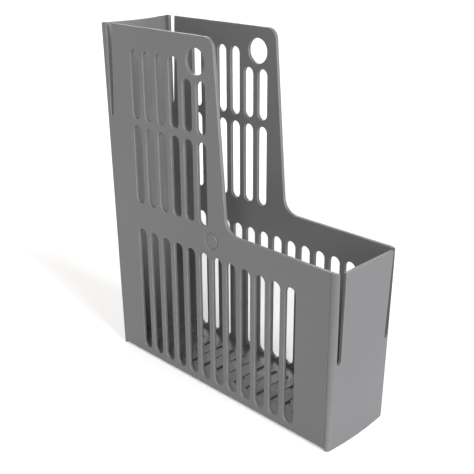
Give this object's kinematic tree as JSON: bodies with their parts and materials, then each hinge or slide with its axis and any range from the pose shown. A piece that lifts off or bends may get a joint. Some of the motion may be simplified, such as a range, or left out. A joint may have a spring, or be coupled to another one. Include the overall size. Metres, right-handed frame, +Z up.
{
  "type": "magazine file holder",
  "caption": "Upright open magazine file: tall slotted L-shaped sides, a tall solid back, a low solid front and a slotted floor, in matte grey moulded plastic.",
  "frame": {"origin": "on the table, under the middle of the bounding box in X and Y", "axes": "+Z up, +X from the tall back towards the low front, +Y from the near side to the far side"},
  "size_m": [0.27, 0.0738, 0.31],
  "materials": {
    "grey_plastic": "fine matte moulded texture"
  },
  "bodies": {
    "root": {"near_side_panel": "grey_plastic", "far_side_panel": "grey_plastic", "back_panel": "grey_plastic", "front_panel": "grey_plastic", "base_grid": "grey_plastic"}
  },
  "joints": []
}
